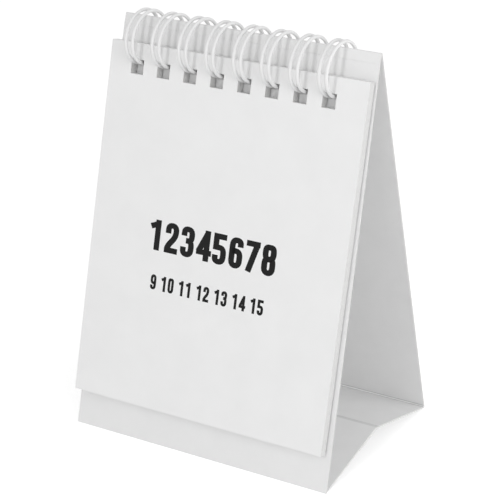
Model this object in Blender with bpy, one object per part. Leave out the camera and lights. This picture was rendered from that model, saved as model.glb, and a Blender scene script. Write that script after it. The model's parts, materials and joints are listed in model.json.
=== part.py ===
# Desk calendar: sixteen leaves on a twin-loop wire, hung on a folded card stand.
# Metres, +Z up. X runs along the binding, +Y from the leaves to the back of the stand.
# The origin is on the table, under the middle of the whole calendar and of the stand.

import math

import bmesh
import bpy
import numpy as np
from mathutils import Vector

MM = 0.001

# Stand
CARD = 0.45 * MM                    # thickness of the folded card
STAND_WIDTH = 80.7 * MM             # at the table
RIDGE_WIDTH = 78.5 * MM             # both panels narrow a little towards the ridge
STAND_DEPTH = 59.0 * MM             # from the front sole to the rear sole
FRONT_PANEL_LENGTH = 114.0 * MM     # from its cut lower edge to the front ridge crease
FRONT_LEAN = math.radians(13.5)
RIDGE_STRIP_LENGTH = 2.4 * MM       # between the two ridge creases
RIDGE_STRIP_LEAN = math.radians(18.0)
BASE_RISE = 6.9 * MM                # height of the middle crease over the line between the folds
SOLE = 0.5 * MM                     # card standing below each lower crease
CREASE_GAP = 0.15 * MM              # each card piece ends this far from its crease line
BASE_END_GAP = 0.6 * MM             # free edge of the base, short of the rear crease
BASE_FRONT_INSET = 0.8 * MM         # the front half of the base is narrower at each side
BASE_FRONT_STEP = 0.9 * MM          # its rear edge lies this far ahead of the middle crease
GLUE_FLAP_DEPTH = 11.0 * MM
GLUE_FLAP_INSET = 2.5 * MM
GLUE_LAYER = 0.05 * MM

# Leaves
PAGE_WIDTH = 79.2 * MM
PAGE_HEIGHT = 98.95 * MM
PAGE_SHIFT = 0.95 * MM              # the page's middle lies this far right of its row of holes
PAGE_HOLE_MARGIN = 6.4 * MM         # from the page's top edge to the middle of its holes
PAGE_HOLE_DROP = 11.04 * MM         # from the ridge down to the middle of the page's holes
MONTH_LEAVES = 15
MONTH_LEAF = 0.145 * MM
COVER_LEAF = 0.25 * MM
LEAF_GAP = 0.02 * MM                # air between flat leaves
BLOCK_STANDOFF = 0.5 * MM           # from the front panel to the rearmost leaf

# Holes
HOLE_PITCH = 8.467 * MM             # three double loops to the inch
HOLE_COUNT = 8
HOLE_SIZE = 4.0 * MM
PAGE_HOLES_SHIFT = -1.7 * MM        # from the middle of the stand to the middle of the page's holes

# Twin-loop wire
WIRE = 1.0 * MM                     # diameter with its coating
WIRE_SHIFT = -0.2 * MM              # from the middle of the page's holes to the middle of the wire
RING_DEPTH = 16.3 * MM              # outline of one closed loop, on the centre line
RING_HEIGHT = 14.2 * MM
RING_TILT = 0.13                    # radians, front edge down
RING_RISE = 8.24 * MM               # loop centre above the leaf holes, along the panel
RING_OUT = 0.3 * MM                 # loop centre ahead of the front panel's face
SPINE_SPACING = 2.85 * MM           # between the two legs of a double loop, where they leave the spine
TIP_SPACING = 1.92 * MM             # between the same legs at their closed tip
SPINE_ANGLE = math.radians(-84.0)   # where the spine of the wire lies on the loop
SPINE_BEND = 0.85 * MM
TIP_GAP = 0.5 * MM                  # between the closed tips and the spine
WIRE_SEAT = 0.35 * MM               # between the wire and the edge of the hole it rests in
LEG_STEPS = 22
BEND_STEPS = 4
FRONT_STRETCH = (math.radians(-120.0), SPINE_ANGLE)             # of the loop, where each panel
BACK_STRETCH = (math.radians(-60.0), math.radians(10.0))        # crosses it
CROSSING_STEPS = 400

# Hinge line of the leaves
LEAF_AXIS_OUT = 1.8 * MM            # ahead of the front panel's face
LEAF_AXIS_RISE = 7.24 * MM          # above the leaf holes, along the panel

WIRE_RADIUS = WIRE / 2
PAGE_HOLE_HEIGHT = FRONT_PANEL_LENGTH - PAGE_HOLE_DROP      # up the panel from its lower edge
WIRE_MIDDLE = PAGE_HOLES_SHIFT + WIRE_SHIFT
FRONT_UP = np.array([math.sin(FRONT_LEAN), math.cos(FRONT_LEAN)])
FRONT_OUT = np.array([-math.cos(FRONT_LEAN), math.sin(FRONT_LEAN)])


def angle_of(vector):
    return math.atan2(vector[1], vector[0])


def block_front():
    """From the front panel's face to the cover's front face."""
    return BLOCK_STANDOFF + MONTH_LEAVES * (MONTH_LEAF + LEAF_GAP) + COVER_LEAF


def cover_reach():
    """How far the cover's lower edge reaches ahead of the front sole."""
    edge_up = PAGE_HOLE_HEIGHT + PAGE_HOLE_MARGIN - PAGE_HEIGHT
    face = CARD / math.cos(FRONT_LEAN)
    out = (FRONT_OUT * (CARD + block_front()) + FRONT_UP * edge_up)[0]
    return -face - out


def stand_profile():
    """Crease lines of the stand as (y, z) points on the inner faces of the card."""
    sole_edge_front = (cover_reach() - STAND_DEPTH) / 2
    sole_edge_rear = sole_edge_front + STAND_DEPTH
    sole_front = np.array([sole_edge_front + CARD / math.cos(FRONT_LEAN), 0.0])
    front_fold = sole_front + FRONT_UP * SOLE
    ridge_front = sole_front + FRONT_UP * FRONT_PANEL_LENGTH
    strip = np.array([math.sin(RIDGE_STRIP_LEAN), math.cos(RIDGE_STRIP_LEAN)])
    ridge_rear = ridge_front + strip * RIDGE_STRIP_LENGTH
    back_lean = 0.0
    for _ in range(20):
        sole_rear = np.array([sole_edge_rear - CARD / math.cos(back_lean), 0.0])
        back_lean = math.atan2(sole_rear[0] - ridge_rear[0], ridge_rear[1])
    back_down = np.array([math.sin(back_lean), -math.cos(back_lean)])
    rear_fold = sole_rear - back_down * SOLE
    along = rear_fold - front_fold
    across = np.array([-along[1], along[0]]) / np.hypot(*along)
    middle = (front_fold + rear_fold) / 2 + across * BASE_RISE
    return {
        "sole_front": sole_front,
        "front_fold": front_fold,
        "ridge_front": ridge_front,
        "ridge_rear": ridge_rear,
        "rear_fold": rear_fold,
        "sole_rear": sole_rear,
        "base_middle": middle,
        "back_down": back_down,
    }


PROFILE = stand_profile()
FRONT_FACE = PROFILE["sole_front"] + FRONT_OUT * CARD
RING_CENTRE = FRONT_FACE + FRONT_UP * (PAGE_HOLE_HEIGHT + RING_RISE) + FRONT_OUT * RING_OUT
LEAF_AXIS = FRONT_FACE + FRONT_UP * (PAGE_HOLE_HEIGHT + LEAF_AXIS_RISE) + FRONT_OUT * LEAF_AXIS_OUT


def ring_point(angle):
    """Centre line of a closed loop, an upright oval, at an angle round its middle."""
    oval = np.array([RING_DEPTH / 2 * math.cos(angle), RING_HEIGHT / 2 * math.sin(angle)])
    turn_y = np.array([math.cos(RING_TILT), math.sin(RING_TILT)])
    turn_z = np.array([-math.sin(RING_TILT), math.cos(RING_TILT)])
    return RING_CENTRE + turn_y * oval[0] + turn_z * oval[1]


def ring_crossing(point, direction, stretch):
    """How far along a line the loop crosses it, between the two angles of a stretch of the loop."""
    normal = np.array([-direction[1], direction[0]])
    angles = np.linspace(*stretch, CROSSING_STEPS)
    loop = np.array([ring_point(a) for a in angles])
    nearest = np.argmin(np.abs((loop - point) @ normal))
    return float((loop[nearest] - point) @ direction)


def columns(middle):
    """Places along X of the holes, or of the double loops, of a row with its middle there."""
    first = middle - (HOLE_COUNT - 1) / 2 * HOLE_PITCH
    return [first + i * HOLE_PITCH for i in range(HOLE_COUNT)]


def tapered(up, length):
    """Width of a panel of the stand at a height above its foot."""
    return STAND_WIDTH + (RIDGE_WIDTH - STAND_WIDTH) * up / length


def material(name, colour, roughness, metallic=0.0):
    made = bpy.data.materials.new(name)
    made.use_nodes = True
    shader = made.node_tree.nodes["Principled BSDF"]
    shader.inputs["Base Color"].default_value = (*colour, 1.0)
    shader.inputs["Roughness"].default_value = roughness
    shader.inputs["Metallic"].default_value = metallic
    return made


def sheet_mesh(name, widths, levels, face, thickness, middle=0.0, holes=None):
    """A flat sheet in its own frame: X across, Z between two levels, Y from face back by thickness.

    widths are those at the two levels, about the sheet's own middle. holes is the middle of its
    row of square holes, across and up.
    """
    low, high = levels
    inner = []
    if holes is not None:
        for column in columns(holes[0]):
            inner += [column - HOLE_SIZE / 2, column + HOLE_SIZE / 2]
        levels = [low, holes[1] - HOLE_SIZE / 2, holes[1] + HOLE_SIZE / 2, high]
    shape = bmesh.new()
    rows = []
    for z in levels:
        half = (widths[0] + (widths[1] - widths[0]) * (z - low) / (high - low)) / 2
        rows.append([shape.verts.new((x, face, z)) for x in [middle - half, *inner, middle + half]])
    grid = list(zip(*rows))
    for i in range(len(grid) - 1):
        for j in range(len(levels) - 1):
            in_hole = holes is not None and i % 2 == 1 and j == 1
            if not in_hole:
                corners = (grid[i][j], grid[i + 1][j], grid[i + 1][j + 1], grid[i][j + 1])
                shape.faces.new(corners)
    body = bmesh.ops.extrude_face_region(shape, geom=shape.faces[:])
    moved = [v for v in body["geom"] if isinstance(v, bmesh.types.BMVert)]
    bmesh.ops.translate(shape, verts=moved, vec=(0, thickness, 0))
    bmesh.ops.recalc_face_normals(shape, faces=shape.faces)
    mesh = bpy.data.meshes.new(name)
    shape.to_mesh(mesh)
    shape.free()
    return mesh


def place(name, data, origin, up_angle, finish):
    """An object whose frame stands at a (y, z) origin, with its own Z at up_angle from +Y."""
    made = bpy.data.objects.new(name, data)
    bpy.context.scene.collection.objects.link(made)
    made.location = (0.0, origin[0], origin[1])
    made.rotation_euler = (up_angle - math.pi / 2, 0.0, 0.0)
    data.materials.append(finish)
    return made


def cut_level(target):
    """Cuts a placed sheet flat where it stands on the table."""
    bpy.context.view_layer.update()
    shape = bmesh.new()
    shape.from_mesh(target.data)
    to_local = target.matrix_world.inverted()
    point = to_local @ Vector((0.0, 0.0, 0.0))
    normal = (to_local.to_3x3() @ Vector((0.0, 0.0, 1.0))).normalized()
    geometry = shape.verts[:] + shape.edges[:] + shape.faces[:]
    bmesh.ops.bisect_plane(
        shape, geom=geometry, plane_co=point, plane_no=normal, clear_inner=True, dist=1e-7
    )
    rim = [e for e in shape.edges if e.is_boundary]
    bmesh.ops.holes_fill(shape, edges=rim, sides=0)
    bmesh.ops.recalc_face_normals(shape, faces=shape.faces)
    shape.to_mesh(target.data)
    shape.free()


def front_panel(card):
    """The leaning panel, with its own origin on the inner edge of its sole."""
    overrun = CARD * math.tan(FRONT_LEAN) + CARD
    mid_card = PROFILE["sole_front"] + FRONT_OUT * CARD / 2
    crossing = ring_crossing(mid_card, FRONT_UP, FRONT_STRETCH)
    hole_middle = crossing - WIRE_RADIUS - WIRE_SEAT + HOLE_SIZE / 2
    levels = [-overrun, FRONT_PANEL_LENGTH - CREASE_GAP]
    widths = [tapered(level, FRONT_PANEL_LENGTH) for level in levels]
    mesh = sheet_mesh(
        "stand_front_panel", widths, levels, -CARD, CARD, holes=(WIRE_MIDDLE, hole_middle)
    )
    made = place("stand_front_panel", mesh, PROFILE["sole_front"], angle_of(FRONT_UP), card)
    cut_level(made)
    return made


def ridge_strip(card):
    """The narrow strip between the two ridge creases, hinged on the front one."""
    run = PROFILE["ridge_rear"] - PROFILE["ridge_front"]
    levels = [CREASE_GAP, RIDGE_STRIP_LENGTH - CREASE_GAP]
    mesh = sheet_mesh("stand_ridge_strip", [RIDGE_WIDTH] * 2, levels, -CARD, CARD)
    return place("stand_ridge_strip", mesh, PROFILE["ridge_front"], angle_of(run), card)


def back_panel(card):
    """The rear panel, hinged on the rear ridge crease and hanging down from it."""
    down = PROFILE["back_down"]
    length = np.hypot(*(PROFILE["sole_rear"] - PROFILE["ridge_rear"]))
    outward = np.array([-down[1], down[0]])
    crossing = ring_crossing(PROFILE["ridge_rear"] + outward * CARD / 2, down, BACK_STRETCH)
    levels = [-length - CARD, -CREASE_GAP]
    widths = [tapered(length + level, length) for level in levels]
    mesh = sheet_mesh(
        "stand_back_panel", widths, levels, 0.0, CARD, holes=(WIRE_MIDDLE, -crossing)
    )
    made = place("stand_back_panel", mesh, PROFILE["ridge_rear"], angle_of(-down), card)
    cut_level(made)
    return made


def base_front(card):
    """The front half of the base, hinged on the front fold."""
    run = PROFILE["base_middle"] - PROFILE["front_fold"]
    length = np.hypot(*run)
    width = STAND_WIDTH - 2 * BASE_FRONT_INSET
    levels = [2 * CREASE_GAP, length - BASE_FRONT_STEP]
    mesh = sheet_mesh("stand_base_front", [width] * 2, levels, 0.0, CARD)
    return place("stand_base_front", mesh, PROFILE["front_fold"], angle_of(run), card)


def glue_flap(card):
    """The flap glued under the front half, which carries the middle crease."""
    run = PROFILE["base_middle"] - PROFILE["front_fold"]
    length = np.hypot(*run)
    width = STAND_WIDTH - 2 * GLUE_FLAP_INSET
    levels = [length - GLUE_FLAP_DEPTH, length - CREASE_GAP]
    mesh = sheet_mesh("stand_glue_flap", [width] * 2, levels, CARD + GLUE_LAYER, CARD)
    return place("stand_glue_flap", mesh, PROFILE["front_fold"], angle_of(run), card)


def middle_crease():
    """Hinge line of the middle crease, under the card, where the two halves fold together."""
    run = PROFILE["base_middle"] - PROFILE["front_fold"]
    along = run / np.hypot(*run)
    under = np.array([along[1], -along[0]])
    return PROFILE["base_middle"] + under * (2 * CARD + GLUE_LAYER)


def base_rear_angle():
    """Direction of the rear half's lower face, which meets the rear fold with its upper face."""
    chord = PROFILE["rear_fold"] - middle_crease()
    return angle_of(chord) - math.asin(CARD / np.hypot(*chord))


def base_rear(card):
    """The rear half of the base, hinged on the middle crease by its lower face."""
    chord = PROFILE["rear_fold"] - middle_crease()
    length = math.sqrt(chord @ chord - CARD**2)
    levels = [CREASE_GAP, length - BASE_END_GAP]
    mesh = sheet_mesh("stand_base_rear", [STAND_WIDTH] * 2, levels, -CARD, CARD)
    return place("stand_base_rear", mesh, middle_crease(), base_rear_angle(), card)


def leaf(name, face_out, thickness, paper):
    """One leaf, hung on the wire, with its origin on the leaves' hinge line.

    face_out is how far its front face lies ahead of the front panel's face.
    """
    hole_middle = -LEAF_AXIS_RISE
    top = hole_middle + PAGE_HOLE_MARGIN
    mesh = sheet_mesh(
        name, [PAGE_WIDTH] * 2, [top - PAGE_HEIGHT, top], LEAF_AXIS_OUT - face_out, thickness,
        PAGE_HOLES_SHIFT + PAGE_SHIFT, (PAGE_HOLES_SHIFT, hole_middle),
    )
    return place(name, mesh, LEAF_AXIS, angle_of(FRONT_UP), paper)


def leaves(cover_paper, month_paper):
    """The rearmost month leaf lies next to the stand, and the cover in front of them all."""
    face_out = BLOCK_STANDOFF
    made = []
    for number in range(MONTH_LEAVES, 0, -1):
        face_out += MONTH_LEAF
        made.append(leaf(f"month_leaf_{number:02d}", face_out, MONTH_LEAF, month_paper))
        face_out += LEAF_GAP
    face_out += COVER_LEAF
    made.append(leaf("cover_leaf", face_out, COVER_LEAF, cover_paper))
    return made


def wire_points():
    """The wire from end to end: along the spine, up one leg, round the tip and down the other."""
    mean_radius = (RING_DEPTH + RING_HEIGHT) / 4
    tip_half = TIP_SPACING / 2
    spine_half = SPINE_SPACING / 2
    spine_reach = SPINE_BEND / mean_radius
    leg_start = SPINE_ANGLE + spine_reach
    leg_end = SPINE_ANGLE + 2 * math.pi - (tip_half + TIP_GAP + WIRE) / mean_radius
    angles = np.linspace(leg_start, leg_end, LEG_STEPS + 1)
    halves = np.linspace(spine_half, tip_half, LEG_STEPS + 1)
    places = columns(WIRE_MIDDLE)
    points = []
    for number, column in enumerate(places):
        points += [(column - half, *ring_point(a)) for a, half in zip(angles, halves)]
        for step in range(1, BEND_STEPS * 2):
            turn = math.pi * step / (BEND_STEPS * 2)
            angle = leg_end + math.sin(turn) * tip_half / mean_radius
            points.append((column - tip_half * math.cos(turn), *ring_point(angle)))
        points += [(column + half, *ring_point(a)) for a, half in zip(angles[::-1], halves[::-1])]
        if number < HOLE_COUNT - 1:
            points += spine_points(column + spine_half, places[number + 1] - spine_half, spine_reach)
    return points


def spine_points(x_from, x_to, reach):
    """The run of the spine between two double loops, with a round bend at each end."""
    points = []
    for step in range(1, BEND_STEPS + 1):
        turn = math.pi / 2 * step / BEND_STEPS
        angle = SPINE_ANGLE + reach * (1 - math.sin(turn))
        points.append((x_from + SPINE_BEND * (1 - math.cos(turn)), *ring_point(angle)))
    for step in range(BEND_STEPS, 0, -1):
        turn = math.pi / 2 * step / BEND_STEPS
        angle = SPINE_ANGLE + reach * (1 - math.sin(turn))
        points.append((x_to - SPINE_BEND * (1 - math.cos(turn)), *ring_point(angle)))
    return points


def least_gap(points):
    """Least distance between surfaces of stretches of the wire that aren't neighbours."""
    dense = []
    for start, end in zip(points[:-1], points[1:]):
        steps = max(1, int(np.linalg.norm(np.subtract(end, start)) / (0.4 * MM)))
        for k in range(steps):
            dense.append(np.add(start, np.subtract(end, start) * k / steps))
    dense = np.array(dense)
    run = np.concatenate([[0.0], np.cumsum(np.linalg.norm(np.diff(dense, axis=0), axis=1))])
    least = math.inf
    for k in range(len(dense)):
        far = run - run[k] > math.pi * SPINE_SPACING
        if far.any():
            gaps = np.linalg.norm(dense[far] - dense[k], axis=1)
            least = min(least, float(gaps.min()))
    return least - WIRE


def binding_wire(coating):
    points = wire_points()
    print(f"least gap of the wire to itself: {least_gap(points) / MM:.2f} mm")
    curve = bpy.data.curves.new("binding_wire", "CURVE")
    curve.dimensions = "3D"
    curve.bevel_depth = WIRE_RADIUS
    curve.bevel_resolution = 1
    curve.use_fill_caps = True
    spline = curve.splines.new("POLY")
    spline.points.add(len(points) - 1)
    centre = np.array([0.0, *RING_CENTRE])
    for target, source in zip(spline.points, points):
        target.co = (*(np.array(source) - centre), 1.0)
        target.radius = 1.0
    made = bpy.data.objects.new("binding_wire", curve)
    bpy.context.scene.collection.objects.link(made)
    made.location = centre
    curve.materials.append(coating)
    return made


def main():
    for old in list(bpy.data.objects):
        bpy.data.objects.remove(old)
    card = material("white_card", (0.78, 0.78, 0.77), 0.6)
    cover_paper = material("coated_cover", (0.86, 0.86, 0.86), 0.45)
    month_paper = material("coated_paper", (0.84, 0.84, 0.84), 0.5)
    coating = material("white_nylon", (0.82, 0.82, 0.82), 0.35)
    front_panel(card)
    ridge_strip(card)
    back_panel(card)
    base_front(card)
    glue_flap(card)
    base_rear(card)
    leaves(cover_paper, month_paper)
    binding_wire(coating)
    for name in ("ridge_front", "ridge_rear", "front_fold", "rear_fold"):
        print(name, np.round(PROFILE[name] / MM, 3))
    print("middle_crease", np.round(middle_crease() / MM, 3))
    print("ring centre", np.round(RING_CENTRE / MM, 3), "leaf axis", np.round(LEAF_AXIS / MM, 3))


main()
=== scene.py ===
# %% [markdown]
# # Dressing a spiral-bound desk calendar
#
# The frame brings in the calendar's plain solids: the folded card stand, sixteen leaves and the
# wire that binds them. This lesson keeps the flat solids where they are, gives each a real finish,
# and adds what flat solids can't show: rounded folds, a smooth wire and the print.

import json
import math

import bpy
import numpy as np
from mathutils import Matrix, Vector


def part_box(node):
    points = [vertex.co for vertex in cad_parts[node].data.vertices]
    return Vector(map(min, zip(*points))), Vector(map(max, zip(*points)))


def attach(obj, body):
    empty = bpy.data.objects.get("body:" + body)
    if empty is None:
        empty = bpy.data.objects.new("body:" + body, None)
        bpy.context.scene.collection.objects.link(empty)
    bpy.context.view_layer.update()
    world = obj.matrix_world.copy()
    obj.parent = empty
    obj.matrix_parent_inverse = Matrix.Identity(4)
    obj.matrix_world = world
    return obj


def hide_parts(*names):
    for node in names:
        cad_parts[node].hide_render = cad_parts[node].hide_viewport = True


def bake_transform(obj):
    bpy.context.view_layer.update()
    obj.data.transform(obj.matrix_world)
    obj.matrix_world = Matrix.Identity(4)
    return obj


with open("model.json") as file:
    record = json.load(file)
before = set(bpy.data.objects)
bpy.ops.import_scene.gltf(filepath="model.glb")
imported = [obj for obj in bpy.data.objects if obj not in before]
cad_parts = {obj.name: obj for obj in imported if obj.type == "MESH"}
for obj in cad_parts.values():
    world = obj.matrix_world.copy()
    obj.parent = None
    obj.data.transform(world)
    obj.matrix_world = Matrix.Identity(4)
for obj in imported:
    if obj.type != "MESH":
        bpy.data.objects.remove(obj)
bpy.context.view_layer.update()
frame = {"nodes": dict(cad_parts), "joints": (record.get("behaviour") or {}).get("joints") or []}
MM = 0.001
print("pieces in the frame:", len(frame["nodes"]))

# %% [markdown]
# ## Small helpers
#
# Colours are written as the hex values a designer would pick on screen. Blender mixes light with
# linear numbers, so one function turns sRGB to linear. One more function adds a shader node with
# its settings and links, so that each material below reads like a short recipe.


# %% Colours and shader nodes
def linear(hex_colour):
    """Each channel c of an sRGB hex colour becomes ((c + 0.055) / 1.055) ** 2.4, or c / 12.92."""
    values = np.array([int(hex_colour[i : i + 2], 16) for i in (1, 3, 5)]) / 255
    curved = ((values + 0.055) / 1.055) ** 2.4
    return (*np.where(values <= 0.04045, values / 12.92, curved), 1.0)


def add(tree, kind, settings=None, **inputs):
    """Adds a node with its settings and inputs.

    An input is a value or a socket, named with _ for each space, or i0, i1 by its place.
    """
    made = tree.nodes.new(kind)
    for name, value in (settings or {}).items():
        setattr(made, name, value)
    for name, value in inputs.items():
        key = int(name[1:]) if name[0] == "i" and name[1:].isdigit() else name.replace("_", " ")
        if isinstance(value, bpy.types.NodeSocket):
            tree.links.new(value, made.inputs[key])
        else:
            made.inputs[key].default_value = value
    return made


def new_material(name):
    """An empty material, its node tree, and its Principled shader wired to the output."""
    made = bpy.data.materials.new(name)
    made.use_nodes = True
    return made, made.node_tree, made.node_tree.nodes["Principled BSDF"]


print("white card renders as", [round(c, 3) for c in linear("#EAEAEA")[:3]])

# %% [markdown]
# ## White board for the stand
#
# The stand is solid bleached board, about 0.45 mm thick, creased and folded. Its surface is matt
# with a faint cloudiness where the fibres lie thicker, and its cut edges are a touch warmer and
# show the layers of fibre. The cloud comes from a noise a few millimetres wide, the tooth of the
# board from a fine bump, and the cut edge is found from the direction each face points in. A
# photographed texture could do it, but noise in real sizes needs no picture and fits any face.


# %% Material of board and paper
# How dark the clouds get, how far along x a cut edge points, and the thickness of the layers in a
# cut edge as a share of their length.
CLOUD_SHADE = 0.975
EDGE_FROM, EDGE_FULL = 0.6, 0.9
LAYER_DRAW = 0.04


def sheet_material(
    name, face_hex, edge_hex, rough, cloud_mm, tooth_mm, layer_mm, depth_mm, lines=()
):
    """Colour = face colour * faint clouds, mixed to the edge colour where the face is a cut edge.

    cloud_mm, tooth_mm and layer_mm are the widths of the clouds, of the fine bumps and of the
    layers in a cut edge, and depth_mm is how high the bumps stand. A face is a cut edge where its
    direction points mostly along x. Each of lines is ((y, z), reach in mm, shade): near it the
    colour is multiplied by shade, which paints the shade that falls in a step or crease.
    """
    made, tree, shader = new_material(name)
    place = add(tree, "ShaderNodeTexCoord")
    cloud = add(
        tree, "ShaderNodeTexNoise", Vector=place.outputs["Object"], Scale=1 / (cloud_mm * MM),
        Detail=3.0, Roughness=0.55,
    )
    tooth = add(
        tree, "ShaderNodeTexNoise", Vector=place.outputs["Object"], Scale=1 / (tooth_mm * MM),
        Detail=4.0, Roughness=0.6,
    )
    shade = add(
        tree, "ShaderNodeMapRange", Value=cloud.outputs["Fac"], From_Min=0.3, From_Max=0.7,
        To_Min=CLOUD_SHADE, To_Max=1.0,
    )
    face = add(
        tree, "ShaderNodeMix", {"data_type": "RGBA", "blend_type": "MULTIPLY"},
        i0=1.0, i6=linear(face_hex), i7=shade.outputs["Result"],
    )
    side = add(tree, "ShaderNodeSeparateXYZ", Vector=place.outputs["Normal"])
    across = add(tree, "ShaderNodeMath", {"operation": "ABSOLUTE"}, i0=side.outputs["X"])
    at_edge = add(
        tree, "ShaderNodeMapRange", Value=across.outputs[0],
        From_Min=EDGE_FROM, From_Max=EDGE_FULL,
    )
    layers = add(
        tree, "ShaderNodeMapping", Vector=place.outputs["Object"],
        Scale=(1.0, 1.0 / (layer_mm * MM), LAYER_DRAW / (layer_mm * MM)),
    )
    fibre = add(tree, "ShaderNodeTexNoise", Vector=layers.outputs[0], Scale=1.0, Detail=2.0)
    edge = add(
        tree, "ShaderNodeMix", {"data_type": "RGBA"}, i0=fibre.outputs["Fac"],
        i6=linear(edge_hex), i7=linear(face_hex),
    )
    colour = add(
        tree, "ShaderNodeMix", {"data_type": "RGBA"}, i0=at_edge.outputs["Result"],
        i6=face.outputs[2], i7=edge.outputs[2],
    )
    bump = add(
        tree, "ShaderNodeBump", Height=tooth.outputs["Fac"], Strength=0.6,
        Distance=depth_mm * MM,
    )
    result = colour.outputs[2]
    # Painted shade: near each of lines the colour is darkened for the shade in a step or crease.
    for (y, z), reach, amount in lines:
        section = add(
            tree, "ShaderNodeVectorMath", {"operation": "MULTIPLY"},
            i0=place.outputs["Object"], i1=(0.0, 1.0, 1.0),
        )
        apart = add(
            tree, "ShaderNodeVectorMath", {"operation": "DISTANCE"},
            i0=section.outputs[0], i1=(0.0, y, z),
        )
        pressed = add(
            tree, "ShaderNodeMapRange", {"interpolation_type": "SMOOTHSTEP"},
            Value=apart.outputs["Value"], From_Min=reach * MM / 3, From_Max=reach * MM,
            To_Min=amount, To_Max=1.0,
        )
        darker = add(
            tree, "ShaderNodeMix", {"data_type": "RGBA", "blend_type": "MULTIPLY"},
            i0=1.0, i6=result, i7=pressed.outputs["Result"],
        )
        result = darker.outputs[2]
    tree.links.new(result, shader.inputs["Base Color"])
    tree.links.new(bump.outputs["Normal"], shader.inputs["Normal"])
    shader.inputs["Roughness"].default_value = rough
    shader.inputs["IOR"].default_value = 1.5
    return made


bleached_board = sheet_material(
    "solid bleached board, creased", "#EAEAEA", "#CFCFCD", rough=0.62, cloud_mm=6.0,
    tooth_mm=0.35, layer_mm=0.12, depth_mm=0.02,
)
print("made", bleached_board.name)

# %% [markdown]
# ## Coated paper for the leaves
#
# The leaves are silk-coated art paper: smoother than the board, with a soft sheen. The cover is the
# same stock, heavier. Guillotined edges are a little darker than the faces. Each sheet could have
# its own shader, but they differ only in colour, gloss and scale, so the board's function serves.

# %% Materials of the leaves
cover_stock = sheet_material(
    "silk-coated cover stock", "#EEEEEE", "#D0D0CE", rough=0.48, cloud_mm=9.0,
    tooth_mm=0.3, layer_mm=0.08, depth_mm=0.008,
)
leaf_stock = sheet_material(
    "silk-coated art paper", "#ECECEC", "#C6C6C4", rough=0.5, cloud_mm=8.0,
    tooth_mm=0.3, layer_mm=0.05, depth_mm=0.008,
)
finishes = {"stand": bleached_board, "cover": cover_stock, "month": leaf_stock}
for name, shown in frame["nodes"].items():
    finish = finishes.get(name.split("_")[0])
    if finish:
        shown.data.materials.clear()
        shown.data.materials.append(finish)
print("dressed", sum(name.split("_")[0] in finishes for name in frame["nodes"]), "flat pieces")

# %% [markdown]
# ## Where the folds are
#
# A crease in board is a pressed line. When the board folds there, its inner faces meet in the line
# and its outer face stretches round it in an arc as wide as the board is thick. The solids stop
# just short of each line, so the arc is added here. The lines come from the frame's joints, and
# the slope of each panel from the direction that its largest face points in. They could be typed
# in as numbers, but read from the frame they stay right when a size changes.


# %% Lines and slopes, as (y, z)
def crease_line(joint):
    """The place of a joint's axis."""
    found = next(j for j in frame["joints"] if j["name"] == joint)
    return np.array(found["pos_m"][1:])


def slope(node):
    """Unit vector that runs up a flat piece, square to its largest face."""
    largest = max(frame["nodes"][node].data.polygons, key=lambda face: face.area)
    along = np.array([-largest.normal.z, largest.normal.y])
    return along / np.linalg.norm(along) * (1 if along[1] > 0 else -1)


def square_to(direction, side):
    """Unit vector square to a direction, on the side that another vector points to."""
    across = np.array([-direction[1], direction[0]])
    return across if across @ side > 0 else -across


# The card's thickness, and the gap that the solids leave beside each crease.
CARD = 0.45 * MM
CREASE_GAP = 0.15 * MM
ridge_front = crease_line("ridge_front_crease")
ridge_rear = crease_line("ridge_rear_crease")
front_fold = crease_line("base_front_crease")
middle_fold = crease_line("base_middle_crease")
front_up, strip_up, back_up = (
    slope(f"stand_{n}") for n in ("front_panel", "ridge_strip", "back_panel")
)
base_in, base_out = slope("stand_base_front"), slope("stand_base_rear")
print("front panel leans", round(math.degrees(math.atan2(front_up[0], front_up[1])), 2), "degrees")


# %% [markdown]
# ## Rounded folds
#
# Each fold is one closed strip. Its section goes round the arc, from the end of one panel to the
# end of the next, and back along the inner faces. It could be a bevel on a box, but a section
# worked out from the two slopes meets both panels exactly.


# %% A strip with an arc for its outer face
def mesh_object(name, points, faces, finish, smooth=True):
    """One object at the origin from arrays of points and faces."""
    mesh = bpy.data.meshes.new(name)
    mesh.from_pydata(points.tolist(), [], faces)
    mesh.materials.append(finish)
    mesh.polygons.foreach_set("use_smooth", np.full(len(mesh.polygons), smooth))
    mesh.update()
    made = bpy.data.objects.new(name, mesh)
    bpy.context.scene.collection.objects.link(made)
    return made


ARC_STEPS = 12
SAME_PLACE = 1e-7


def fold_section(line, run_a, run_b, out_a, out_b, gap_a, gap_b, bead):
    """Points round a fold: line + r * (cos t, sin t) from out_a to out_b, and the two flat ends.

    r is the card's thickness plus bead * sin(pi * share of the arc): a pressed crease stands
    slightly proud in its middle.
    """
    angle_a, angle_b = math.atan2(out_a[1], out_a[0]), math.atan2(out_b[1], out_b[0])
    turn = (angle_b - angle_a + math.pi) % (2 * math.pi) - math.pi
    share = np.linspace(0, 1, ARC_STEPS)
    angle = angle_a + turn * share
    radius = CARD + bead * np.sin(math.pi * share)
    arc = line + radius[:, None] * np.stack([np.cos(angle), np.sin(angle)], axis=1)
    before, after = line + run_a * gap_a, line + run_b * gap_b
    section = np.array(
        [before, before + out_a * CARD, *arc, after + out_b * CARD, after, line]
    )
    apart = np.linalg.norm(section - np.roll(section, 1, axis=0), axis=1) > SAME_PLACE
    return section[apart]


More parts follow.
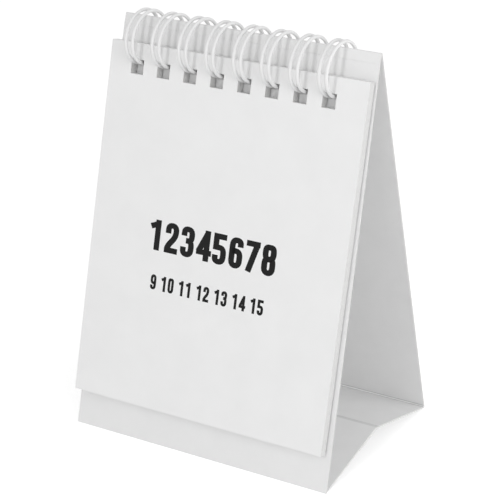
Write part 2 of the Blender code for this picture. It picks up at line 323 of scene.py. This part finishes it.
def strip(name, section, x_low, x_high, finish):
    """A section in (y, z) carried from x_low to x_high and closed at both ends."""
    count = len(section)
    low = np.column_stack([np.full(count, x_low), section])
    high = np.column_stack([np.full(count, x_high), section])
    k = np.arange(count)
    faces = np.stack([k, (k + 1) % count, (k + 1) % count + count, k + count], axis=1).tolist()
    faces += [k[::-1].tolist(), (k + count).tolist()]
    rolled = np.roll(section, -1, axis=0)
    area = (section[:, 0] * rolled[:, 1] - section[:, 1] * rolled[:, 0]).sum()
    if area < 0:
        faces = [face[::-1] for face in faces]
    return mesh_object(name, np.concatenate([low, high]), faces, finish, smooth=False)


print("each arc has", ARC_STEPS, "points")

# %% The four folds
BASE_INSET = 0.1 * MM
FLAP_INSET = 0.25 * MM
RIDGE_BEAD = 0.12 * MM
SOFT_BEAD = 0.03 * MM
ridge_x = [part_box("stand_ridge_strip")[k][0] for k in (0, 1)]
foot_x = [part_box("stand_base_rear")[k][0] for k in (0, 1)]
base_x = [foot_x[0] + BASE_INSET, foot_x[1] - BASE_INSET]
flap_x = [foot_x[0] + FLAP_INSET, foot_x[1] - FLAP_INSET]
down = np.array([0.0, -1.0])
front_out = square_to(front_up, np.array([-1.0, 0.0]))
strip_out = square_to(strip_up, np.array([-1.0, 0.5]))
back_out = square_to(back_up, np.array([1.0, 0.0]))
# Each fold has its two bodies, where it starts and ends along x, and the sizes for fold_section.
folds = {
    "fold_ridge_front": (
        ("front_panel", "ridge_strip"), ridge_x,
        (
            ridge_front, -front_up, strip_up, front_out, strip_out,
            CREASE_GAP, CREASE_GAP, RIDGE_BEAD,
        ),
    ),
    "fold_ridge_rear": (
        ("ridge_strip", "back_panel"), ridge_x,
        (
            ridge_rear, -strip_up, -back_up, strip_out, back_out,
            CREASE_GAP, CREASE_GAP, SOFT_BEAD,
        ),
    ),
    "fold_base_front": (
        ("front_panel", "base_front"), base_x,
        (
            front_fold, front_up, base_in, -front_up, square_to(base_in, down),
            0.0, 2 * CREASE_GAP, 0.0,
        ),
    ),
    "fold_base_middle": (
        ("base_front", "base_rear"), flap_x,
        (
            middle_fold, -base_in, -base_out, square_to(base_in, -down),
            square_to(base_out, -down), CREASE_GAP, CREASE_GAP, SOFT_BEAD,
        ),
    ),
}
for name, (bodies, (x_low, x_high), sizes) in folds.items():
    section = fold_section(*sizes)
    piece = strip(name, section, x_low, x_high, bleached_board)
    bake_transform(piece)
print("folds:", ", ".join(folds))

# %% [markdown]
# ## The base, with painted shade at its creases
#
# The base is two halves of the same board. The rear half runs on past the middle crease as a glue
# flap, and the front half lies on that flap, a little short of the crease, at the full width of the
# stand. Its two sheets are drawn again here at that width. Shade falls in a fine line where board
# overlaps and beside the bead, so the finish paints that shade near four lines across the base.
# They could be thin dark pieces, but in the finish they add no shape and move with the board.

# %% Lines across the base
# The rear fold lies SOLE up the back panel, and the base ends BASE_END_GAP from it. The front half
# ends CARD_STEP short of the middle crease, and the bead reaches BEAD_RISE up the back panel.
SOLE = 0.5 * MM
BASE_END_GAP = 0.6 * MM
CARD_STEP = 0.9 * MM
BEAD_RISE = 0.5 * MM
back_lean = math.atan2(-back_up[0], back_up[1])
sole_inner = np.array([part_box("stand_back_panel")[1][1] - CARD / math.cos(back_lean), 0.0])
rear_fold = sole_inner + back_up * SOLE
flap_top = middle_fold + square_to(base_in, -down) * CARD
front_half_end = flap_top + square_to(base_in, -down) * CARD - base_in * CARD_STEP
bead_near = rear_fold + base_out * BASE_END_GAP
bead_far = rear_fold + back_up * BEAD_RISE
print("rear fold at", np.round(rear_fold / MM, 2), "mm")

# %% Finish and sheets of the base
# How far each line of painted shade reaches, in mm, and how much it darkens the board.
STEP_REACH, FLAP_REACH, STEP_PAINTED_SHADE = 0.35, 0.7, 0.84
BEAD_REACH, BEAD_PAINTED_SHADE = 0.2, 0.7
# Painted light: same board as the stand, lighter than its #EAEAEA to brighten the stand's inside.
board_with_painted_light_and_shade = sheet_material(
    "solid bleached board, pressed creases", "#F1F1F1", "#CFCFCD", rough=0.62, cloud_mm=6.0,
    tooth_mm=0.35, layer_mm=0.12, depth_mm=0.02,
    lines=(
        (front_half_end, STEP_REACH, STEP_PAINTED_SHADE),
        (flap_top, FLAP_REACH, STEP_PAINTED_SHADE),
        (bead_far, BEAD_REACH, BEAD_PAINTED_SHADE),
        (bead_near, BEAD_REACH, BEAD_PAINTED_SHADE),
    ),
)


def section_of(node):
    """The four corners of a flat piece in (y, z), in order round their middle."""
    places = [v.co[1:] for v in frame["nodes"][node].data.vertices]
    corners = np.unique(np.round(places, 6), axis=0)
    away = corners - corners.mean(axis=0)
    return corners[np.argsort(np.arctan2(away[:, 1], away[:, 0]))]


for name, node, (x_low, x_high) in (
    ("base_front_half", "stand_base_front", base_x), ("base_glue_flap", "stand_glue_flap", flap_x)
):
    sheet = strip(name, section_of(node), x_low, x_high, board_with_painted_light_and_shade)
    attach(sheet, "base_front")
    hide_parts(node)
for node in ("stand_base_rear", "stand_back_panel"):
    frame["nodes"][node].data.materials[0] = board_with_painted_light_and_shade
bpy.data.objects["fold_base_middle"].data.materials[0] = board_with_painted_light_and_shade
print("base sheets from", round(base_x[0] / MM, 2), "to", round(base_x[1] / MM, 2), "mm")

# %% [markdown]
# ## The bead at the rear fold
#
# At the rear lower crease the back panel turns under the base. Pressed card bulges on the inside of
# a fold, so a narrow bead fills that corner, with painted shade in a fine line on each side. Its
# section is a straight line across the corner plus a half wave. It belongs to the back panel's
# card, so it rides there, and the base's free edge leaves it when the stand is folded. A bump in
# the finish could suggest it, but the fold is seen from its end, where only real shape shows.

# %% Bead
HAIRLINE = 0.04 * MM
BEAD_HEIGHT = 0.1 * MM
bead_end = rear_fold + base_out * (BASE_END_GAP - HAIRLINE)
fold_outside = fold_section(
    rear_fold, back_up, base_out, -back_up, square_to(base_out, down), 0.0,
    BASE_END_GAP - HAIRLINE, 0.0,
)
share = np.linspace(0, 1, ARC_STEPS)[1:, None]
bump = bead_end + share * (bead_far - bead_end)
bump = bump + np.sin(math.pi * share) * BEAD_HEIGHT * square_to(bead_far - bead_end, -down)
bead_section = np.concatenate([fold_outside[:-1], bump, fold_outside[-1:]])
bead = strip("bead_rear_fold", bead_section, *foot_x, board_with_painted_light_and_shade)
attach(bead, "back_panel")
print("bead:", len(bead_section), "points round")

# %% [markdown]
# ## The twin-loop wire
#
# The binding is one steel wire in a white nylon coat. It starts life as a flat comb of long loops
# and is rolled up, so that the closed tips of the loops tuck in beside the spine. The shape is made
# the same way: a flat comb route of (x, angle) points, rolled on an upright oval, with a round
# tube carried along it. The oval's own outward direction stays square to the wire everywhere,
# so it steers the tube without any twist.

# %% Sizes of the wire
HOLE_PITCH = 8.467 * MM
HOLE_COUNT = 8
WIRE = 1.0 * MM
WIRE_MIDDLE = -1.9 * MM
RING_DEPTH = 16.3 * MM
RING_HEIGHT = 14.2 * MM
RING_TILT = 0.13
RING_MIDDLE = crease_line("wire_turn")
SPINE_SPACING = 2.85 * MM
TIP_SPACING = 1.92 * MM
SPINE_ANGLE = math.radians(-84.0)
SPINE_BEND = 0.85 * MM
TIP_GAP = 0.5 * MM
LEG_STEPS = 72
BEND_STEPS = 10
SIDES = 16
print("loops:", HOLE_COUNT, "at a pitch of", round(HOLE_PITCH / MM, 3), "mm")


# %% Route of the flat comb
def loop_route(column, mean_radius):
    """Up one leg, round the tip and down the other.

    The legs stand at column - half and column + half, and half shrinks evenly from the spine to
    the tip, which is half a circle between them.
    """
    tip_half = TIP_SPACING / 2
    foot = SPINE_ANGLE + SPINE_BEND / mean_radius
    tip = SPINE_ANGLE + 2 * math.pi - (tip_half + TIP_GAP + WIRE) / mean_radius
    leg = np.linspace(foot, tip, LEG_STEPS)
    half = np.linspace(SPINE_SPACING / 2, tip_half, LEG_STEPS)
    turn = np.linspace(0, math.pi, 2 * BEND_STEPS + 1)[1:-1]
    x = np.concatenate([-half, -tip_half * np.cos(turn), half[::-1]])
    angle = np.concatenate([leg, tip + np.sin(turn) * tip_half / mean_radius, leg[::-1]])
    return np.stack([x + column, angle], axis=1)


def spine_route(x_from, x_to, mean_radius):
    """The run between two loops: a quarter circle, a straight stretch and a quarter circle."""
    turn = np.linspace(0, math.pi / 2, BEND_STEPS + 1)[1:]
    angle = SPINE_ANGLE + SPINE_BEND * (1 - np.sin(turn)) / mean_radius
    start = np.stack([x_from + SPINE_BEND * (1 - np.cos(turn)), angle], axis=1)
    end = np.stack([x_to - SPINE_BEND * (1 - np.cos(turn)), angle], axis=1)[::-1]
    return np.concatenate([start, end])


mean_radius = (RING_DEPTH + RING_HEIGHT) / 4
columns = WIRE_MIDDLE + (np.arange(HOLE_COUNT) - (HOLE_COUNT - 1) / 2) * HOLE_PITCH
stretches = []
for number, column in enumerate(columns):
    stretches.append(loop_route(column, mean_radius))
    if number < HOLE_COUNT - 1:
        here, there = column + SPINE_SPACING / 2, columns[number + 1] - SPINE_SPACING / 2
        stretches.append(spine_route(here, there, mean_radius))
comb = np.concatenate(stretches)
print("the flat comb has", len(comb), "points")


# %% Roll the comb and carry the tube along it
def on_oval(angle):
    """Point (a cos t, b sin t) of an oval and its outward direction (cos t / a, sin t / b).

    Both are turned by RING_TILT, in radians, and the point is moved to RING_MIDDLE.
    """
    turn = np.array(
        [[math.cos(RING_TILT), math.sin(RING_TILT)], [-math.sin(RING_TILT), math.cos(RING_TILT)]]
    )
    a, b = RING_DEPTH / 2, RING_HEIGHT / 2
    place = np.stack([a * np.cos(angle), b * np.sin(angle)], axis=1) @ turn + RING_MIDDLE
    outward = np.stack([np.cos(angle) / a, np.sin(angle) / b], axis=1) @ turn
    return place, outward / np.linalg.norm(outward, axis=1, keepdims=True)


def tube_mesh(path, normal, radius, sides):
    """Rings of points: path + radius * (cos(t) * normal + sin(t) * side), closed by end caps."""
    along = np.gradient(path, axis=0)
    along /= np.linalg.norm(along, axis=1, keepdims=True)
    side = np.cross(along, normal)
    side /= np.linalg.norm(side, axis=1, keepdims=True)
    normal = np.cross(side, along)
    t = np.linspace(0, 2 * math.pi, sides, endpoint=False)
    rings = (
        path[:, None]
        + radius * np.cos(t)[None, :, None] * normal[:, None]
        + radius * np.sin(t)[None, :, None] * side[:, None]
    )
    i, j = np.meshgrid(np.arange(len(path) - 1), np.arange(sides), indexing="ij")
    k = (j + 1) % sides
    quads = np.stack([i * sides + j, i * sides + k, (i + 1) * sides + k, (i + 1) * sides + j], -1)
    last = (len(path) - 1) * sides
    faces = [q[::-1] for q in quads.reshape(-1, 4).tolist()]
    faces += [list(range(sides)), [last + s for s in range(sides)][::-1]]
    return rings.reshape(-1, 3), faces


rolled, outward = on_oval(comb[:, 1])
path = np.column_stack([comb[:, 0], rolled])
facing = np.column_stack([np.zeros(len(comb)), outward])
length = np.linalg.norm(np.diff(path, axis=0), axis=1).sum()
print(f"wire length {length / MM:.0f} mm")

# %% [markdown]
# ## Nylon coat
#
# Nylon 11 powder coat on steel wire: smooth, softly glossy and a clean white. A weak bump less than
# half a millimetre wide gives the slight orange peel that a sintered coat has. A plain gloss could
# do, but the peel softens the long highlights on the loops.


# %% Material and piece of the wire
PEEL_WIDTH = 0.4 * MM
PEEL_HEIGHT = 0.02 * MM


def nylon_material():
    """White base, medium gloss, and a fine unevenness in the highlight."""
    made, tree, shader = new_material("white nylon coat on steel wire")
    place = add(tree, "ShaderNodeTexCoord")
    peel = add(
        tree, "ShaderNodeTexNoise", Vector=place.outputs["Object"], Scale=1 / PEEL_WIDTH,
        Detail=2.0,
    )
    gloss = add(
        tree, "ShaderNodeMapRange", Value=peel.outputs["Fac"], From_Min=0.3, From_Max=0.7,
        To_Min=0.52, To_Max=0.62,
    )
    bump = add(
        tree, "ShaderNodeBump", Height=peel.outputs["Fac"], Strength=0.25, Distance=PEEL_HEIGHT
    )
    shader.inputs["Base Color"].default_value = linear("#E8E8E8")
    shader.inputs["IOR"].default_value = 1.53
    tree.links.new(gloss.outputs["Result"], shader.inputs["Roughness"])
    tree.links.new(bump.outputs["Normal"], shader.inputs["Normal"])
    return made


nylon = nylon_material()
wire = mesh_object("twin_loop_wire", *tube_mesh(path, facing, WIRE / 2, SIDES), nylon)
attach(wire, "wire")
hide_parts("binding_wire")
print("wire faces:", len(wire.data.polygons))

# %% [markdown]
# ## Plain numerals
#
# The cover and the months carry plain numbers in a narrow bold face. A font could be used, but
# squeezing one makes its upright strokes thin. So each numeral is a few pen strokes in a cell one
# unit tall: a centre line with rounded corners, and a flat ribbon of even width carried along it.


# %% Pen strokes
PEN = 0.185
CELL = 0.44
LEFT, RIGHT, FOOT, HEAD = PEN / 2, CELL - PEN / 2, PEN / 2, 1 - PEN / 2
MIDDLE = CELL / 2
WAIST = 0.53
STROKES = {
    "0": [
        [
            (MIDDLE, HEAD), (RIGHT, HEAD), (RIGHT, FOOT), (LEFT, FOOT), (LEFT, HEAD),
            (MIDDLE, HEAD),
        ]
    ],
    "1": [[(MIDDLE + 0.05, 0), (MIDDLE + 0.05, 1)], [(LEFT - 0.06, 0.76), (MIDDLE + 0.05, 0.87)]],
    "2": [
        [(LEFT, 0.64), (LEFT, HEAD), (RIGHT, HEAD), (RIGHT, 0.56), (LEFT, 0.22), (LEFT, 0)],
        [(0, FOOT), (CELL, FOOT)],
    ],
    "3": [
        [(LEFT, 0.68), (LEFT, HEAD), (RIGHT, HEAD), (RIGHT, WAIST), (MIDDLE - 0.06, WAIST)],
        [(MIDDLE - 0.06, WAIST), (RIGHT, WAIST), (RIGHT, FOOT), (LEFT, FOOT), (LEFT, 0.32)],
    ],
    "4": [
        [(RIGHT - 0.02, 0), (RIGHT - 0.02, 1)],
        [(RIGHT - 0.02, 0.92), (LEFT - 0.02, 0.28)],
        [(0, 0.28), (CELL + 0.05, 0.28)],
    ],
    "5": [
        [(LEFT, 1), (LEFT, 0.46)],
        [(0, HEAD), (CELL - 0.02, HEAD)],
        [(LEFT, 0.55), (RIGHT, 0.55), (RIGHT, FOOT), (LEFT, FOOT), (LEFT, 0.3)],
    ],
    "6": [
        [
            (RIGHT, 0.7), (RIGHT, HEAD), (LEFT, HEAD), (LEFT, FOOT), (RIGHT, FOOT), (RIGHT, 0.56),
            (LEFT, 0.56),
        ]
    ],
    "7": [[(0, HEAD), (CELL, HEAD)], [(RIGHT, HEAD), (LEFT + 0.03, 0)]],
    "8": [
        [
            (MIDDLE, HEAD), (RIGHT, HEAD), (RIGHT, WAIST), (LEFT, WAIST), (LEFT, HEAD),
            (MIDDLE, HEAD),
        ],
        [
            (MIDDLE, WAIST), (RIGHT, WAIST), (RIGHT, FOOT), (LEFT, FOOT), (LEFT, WAIST),
            (MIDDLE, WAIST),
        ],
    ],
}
STROKES["9"] = [[(CELL - x, 1 - y) for x, y in line] for line in STROKES["6"]]
print("strokes for", len(STROKES), "numerals")

# %% Round the corners and widen the strokes
CORNER_STEPS = 6
SAME_STROKE_PLACE = 1e-6


def rounded(line, radius):
    """Each inner corner becomes a short curve: (1-t)^2 * in + 2t(1-t) * corner + t^2 * out."""
    line = np.array(line, float)
    t = np.linspace(0, 1, CORNER_STEPS)[:, None]
    points = [line[:1]]
    for before, corner, after in zip(line[:-2], line[1:-1], line[2:]):
        reach_in = min(radius, np.linalg.norm(before - corner) / 2)
        reach_out = min(radius, np.linalg.norm(after - corner) / 2)
        start = corner + (before - corner) / np.linalg.norm(before - corner) * reach_in
        end = corner + (after - corner) / np.linalg.norm(after - corner) * reach_out
        points.append((1 - t) ** 2 * start + 2 * t * (1 - t) * corner + t**2 * end)
    points.append(line[-1:])
    points = np.concatenate(points)
    fresh = np.linalg.norm(np.diff(points, axis=0), axis=1) > SAME_STROKE_PLACE
    return points[np.concatenate([[True], fresh])]


def ribbon(line):
    """Left and right edges of a flat pen: line + and - PEN / 2 * the direction square to it."""
    along = np.gradient(line, axis=0)
    along /= np.linalg.norm(along, axis=1, keepdims=True)
    square = np.stack([-along[:, 1], along[:, 0]], axis=1) * PEN / 2
    points = np.concatenate([line + square, line - square])
    i, count = np.arange(len(line) - 1), len(line)
    return points, np.stack([i, i + count, i + 1 + count, i + 1], axis=1)


NUMERALS = {sign: [ribbon(rounded(line, PEN)) for line in lines] for sign, lines in STROKES.items()}
print("numerals:", " ".join(NUMERALS))

# %% [markdown]
# ## Black offset ink
#
# The print is one pass of black offset ink. It sinks a little into the coating, so it is not quite
# black and less glossy than the coated sheet. It could be a mask in the paper's own shader,
# but a film with the numerals' outline stays sharp at any distance.


# %% Material of the print
MOTTLE_WIDTH = 0.25 * MM


def ink_material():
    """Near black, with a fine mottle where the ink lies thinner."""
    made, tree, shader = new_material("black offset ink")
    place = add(tree, "ShaderNodeTexCoord")
    mottle = add(
        tree, "ShaderNodeTexNoise", Vector=place.outputs["Object"], Scale=1 / MOTTLE_WIDTH,
        Detail=2.0,
    )
    shade = add(
        tree, "ShaderNodeMix", {"data_type": "RGBA"}, i0=mottle.outputs["Fac"],
        i6=linear("#0A0A0A"), i7=linear("#121212"),
    )
    tree.links.new(shade.outputs[2], shader.inputs["Base Color"])
    shader.inputs["Roughness"].default_value = 0.6
    shader.inputs["IOR"].default_value = 1.3
    return made


ink = ink_material()
print("made", ink.name)

# %% [markdown]
# ## Print on a leaf
#
# A row of numbers is set in units of its own height, then scaled and carried to the leaf. Places on
# a leaf are measured across from the stand's middle and up the front panel from the table. The film
# lies a few thousandths of a millimetre ahead of the paper and turns with its leaf.

# %% Set and place rows of numbers
INK_HEIGHT = 0.006 * MM
STROKE_HEIGHT = 0.001 * MM
front_foot = np.array([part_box("stand_front_panel")[0][1], 0.0])


def set_row(text, stretch, space, word_space):
    """Points (x, y, layer) and quads of a row that starts at 0, and its width."""
    points, quads, count, x = [], [], 0, 0.0
    for sign in text:
        if sign == " ":
            x += word_space - space
            continue
        for layer, (flat, faces) in enumerate(NUMERALS[sign]):
            across = flat[:, 0] * stretch + x
            points.append(np.column_stack([across, flat[:, 1], np.full(len(flat), layer)]))
            quads.append(faces + count)
            count += len(flat)
        x += CELL * stretch + space
    return np.concatenate(points), np.concatenate(quads), x - space


def leaf_face(node):
    """How far a leaf's front face lies ahead of the line up the front panel."""
    corners = np.array([v.co[1:] for v in frame["nodes"][node].data.vertices])
    return ((corners - front_foot) @ front_out).max()


def printed(name, node, rows):
    """One film of ink on a leaf.

    A row is (text, x of its middle, foot, height, stretch, space, word space), with the last two
    in heights of the row. Its point (x, y) goes to middle + (x - width / 2) * height across and
    foot + y * height up the panel.
    """
    ahead = leaf_face(node) + INK_HEIGHT
    all_points, all_quads, count = [], [], 0
    for text, middle, foot, height, stretch, space, word_space in rows:
        flat, quads, width = set_row(text, stretch, space, word_space)
        x = middle + (flat[:, 0] - width / 2) * height
        out = ahead + flat[:, 2:] * STROKE_HEIGHT
        place = front_foot + (foot + flat[:, 1:2] * height) * front_up + out * front_out
        all_points.append(np.column_stack([x, place]))
        all_quads.append(quads + count)
        count += len(flat)
    points, quads = np.concatenate(all_points), np.concatenate(all_quads).tolist()
    made = mesh_object(name, points, quads, ink, smooth=False)
    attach(made, node)
    return made


print("front panel starts at", np.round(front_foot / MM, 2), "mm")

# %% Print on the cover
COVER_MIDDLE = -1.5 * MM
# Text, middle, foot, height, stretch, space and word space.
cover_rows = [
    ("12345678", COVER_MIDDLE, 54.6 * MM, 8.4 * MM, 1.15, 0.1, 0.0),
    ("9 10 11 12 13 14 15", COVER_MIDDLE, 43.7 * MM, 4.2 * MM, 1.0, 0.1, 0.37),
]
cover_print = printed("print_cover", "cover_leaf", cover_rows)
print("cover print:", [round(v / MM, 1) for v in cover_print.dimensions], "mm")

# %% [markdown]
# ## Days on the month leaves
#
# Behind the cover each leaf carries one month: its number at the top and its days below in seven
# columns. The photograph doesn't show these leaves, so the layout is the plainest there is.

# %% Month numbers and day grids
DAYS = (31, 28, 31, 30, 31, 30, 31, 31, 30, 31, 30, 31)
WEEK = 7
LEAF_COUNT = 15
FIRST_DAY_STEP = 3
COLUMN, LINE = 9.6 * MM, 11.0 * MM
LEAF_MIDDLE = -0.75 * MM
GRID_TOP = 66.0 * MM
HEADING_FOOT, HEADING_HEIGHT = 79.0 * MM, 9.0 * MM
HEADING_STRETCH, HEADING_SPACE = 1.22, 0.12
DAY_HEIGHT, DAY_SPACE = 3.0 * MM, 0.1


def month_rows(number):
    """A heading, and day d at column (first + d) % WEEK of line (first + d) // WEEK."""
    month = (number - 1) % len(DAYS)
    heading = (
        str(month + 1), LEAF_MIDDLE, HEADING_FOOT, HEADING_HEIGHT, HEADING_STRETCH,
        HEADING_SPACE, 0.0,
    )
    rows = [heading]
    first = (number * FIRST_DAY_STEP) % WEEK
    for day in range(DAYS[month]):
        across = LEAF_MIDDLE + ((first + day) % WEEK - WEEK // 2) * COLUMN
        up = GRID_TOP - (first + day) // WEEK * LINE
        rows.append((str(day + 1), across, up, DAY_HEIGHT, 1.0, DAY_SPACE, 0.0))
    return rows


for number in range(1, LEAF_COUNT + 1):
    printed(f"print_month_{number:02d}", f"month_leaf_{number:02d}", month_rows(number))
print("month leaves printed:", LEAF_COUNT)

# %% [markdown]
# ## Floor
#
# The floor is white paper: to the camera it glows a little, so that it reads as plain white, and it
# still keeps the calendar's soft shadow. It lies a hair below the calendar. Brighter lamps could
# turn it white too, but they would wash out the calendar.


# %% Floor
FLOOR_GLOW = 0.45
FLOOR_REACH = 4.0
FLOOR_DROP = 0.02 * MM


def floor_material():
    """Matt white, with some added glow for rays that come straight from the camera."""
    made, tree, shader = new_material("white paper floor")
    shader.inputs["Base Color"].default_value = linear("#EDEDED")
    shader.inputs["Roughness"].default_value = 0.9
    path_kind = add(tree, "ShaderNodeLightPath")
    seen = add(
        tree, "ShaderNodeMath", {"operation": "MAXIMUM"},
        i0=path_kind.outputs["Is Camera Ray"], i1=path_kind.outputs["Is Glossy Ray"],
    )
    strength = add(
        tree, "ShaderNodeMath", {"operation": "MULTIPLY"}, i0=seen.outputs[0], i1=FLOOR_GLOW
    )
    glow = add(tree, "ShaderNodeEmission", Strength=strength.outputs[0])
    both = add(tree, "ShaderNodeAddShader", i0=shader.outputs[0], i1=glow.outputs[0])
    tree.links.new(both.outputs[0], tree.nodes["Material Output"].inputs["Surface"])
    return made


corners = np.array([[-1, -1, 0], [1, -1, 0], [1, 1, 0], [-1, 1, 0]]) * FLOOR_REACH
corners[:, 2] = -FLOOR_DROP
floor = mesh_object("floor", corners, [[0, 1, 2, 3]], floor_material(), smooth=False)
print("floor:", 2 * FLOOR_REACH, "m wide")

# %% [markdown]
# ## World and lamps
#
# A small lamp in front gives the loops a faint shadow on the cover. Two large soft ones on the
# right reach the cut edges and the inside of the folded stand, and a pale world fills the rest. The
# camera sees that world as plain white. A picture of a studio could light it as well, but with
# lamps each light can be set by itself.

# %% World
FILL = 0.61
world = bpy.data.worlds.new("pale studio")
world.use_nodes = True
sky = world.node_tree
sky.nodes.clear()
ray = add(sky, "ShaderNodeLightPath")
fill = add(sky, "ShaderNodeBackground", Color=linear("#FFFFFF"), Strength=FILL)
backdrop = add(sky, "ShaderNodeBackground", Color=linear("#FFFFFF"), Strength=1.0)
direct = add(
    sky, "ShaderNodeMath", {"operation": "MAXIMUM"},
    i0=ray.outputs["Is Camera Ray"], i1=ray.outputs["Is Glossy Ray"],
)
mixed = add(
    sky, "ShaderNodeMixShader", Fac=direct.outputs[0], i1=fill.outputs[0], i2=backdrop.outputs[0]
)
add(sky, "ShaderNodeOutputWorld", Surface=mixed.outputs[0])
bpy.context.scene.world = world
print("the world fills at strength", FILL)


# %% Lamps
LAMP_AIM = (0.0, 0.0, 0.06)


def aimed(location, target):
    """The turn that points an object's -Z from its place to a target, with +Y up."""
    return (Vector(target) - Vector(location)).to_track_quat("-Z", "Y").to_euler()


def soft_lamp(name, location, size, watts):
    """A round lamp that faces the middle of the calendar."""
    lamp = bpy.data.lights.new(name, "AREA")
    lamp.shape = "DISK"
    lamp.size = size
    lamp.energy = watts
    made = bpy.data.objects.new(name, lamp)
    bpy.context.scene.collection.objects.link(made)
    made.location = location
    made.rotation_euler = aimed(made.location, LAMP_AIM)


soft_lamp("front lamp", (0.0, -1.0, 0.60), size=0.12, watts=2.0)
soft_lamp("right lamp", (0.72, -0.45, 0.40), size=0.60, watts=2.1)
soft_lamp("lamp behind on the right", (0.75, 0.35, 0.20), size=0.50, watts=1.4)
print("lamps:", ", ".join(light.name for light in bpy.data.lights))

# %% [markdown]
# ## Camera
#
# The view was solved from the photograph. Its focal length in pixels becomes a lens in millimetres
# as focal * sensor width / picture width. It could be set by eye, but a solved view lets the render
# be laid over the photograph.

# %% Camera
AZIMUTH, ELEVATION = math.radians(31.0568), math.radians(22.1004)
CAMERA_PLACE = (0.246895, -0.411084, 0.245757)
FOCAL_PIXELS = 1870.668
PICTURE_PIXELS = 500
SENSOR_MM = 36.0
lens = bpy.data.cameras.new("photo view")
lens.sensor_width = SENSOR_MM
lens.lens = FOCAL_PIXELS * SENSOR_MM / PICTURE_PIXELS
lens.clip_start = 0.01
view = bpy.data.objects.new("photo view", lens)
bpy.context.scene.collection.objects.link(view)
view.location = CAMERA_PLACE
view.rotation_euler = (math.pi / 2 - ELEVATION, 0.0, AZIMUTH)
bpy.context.scene.camera = view
bpy.context.scene.view_settings.view_transform = "Standard"
print("lens", round(lens.lens, 1), "mm")
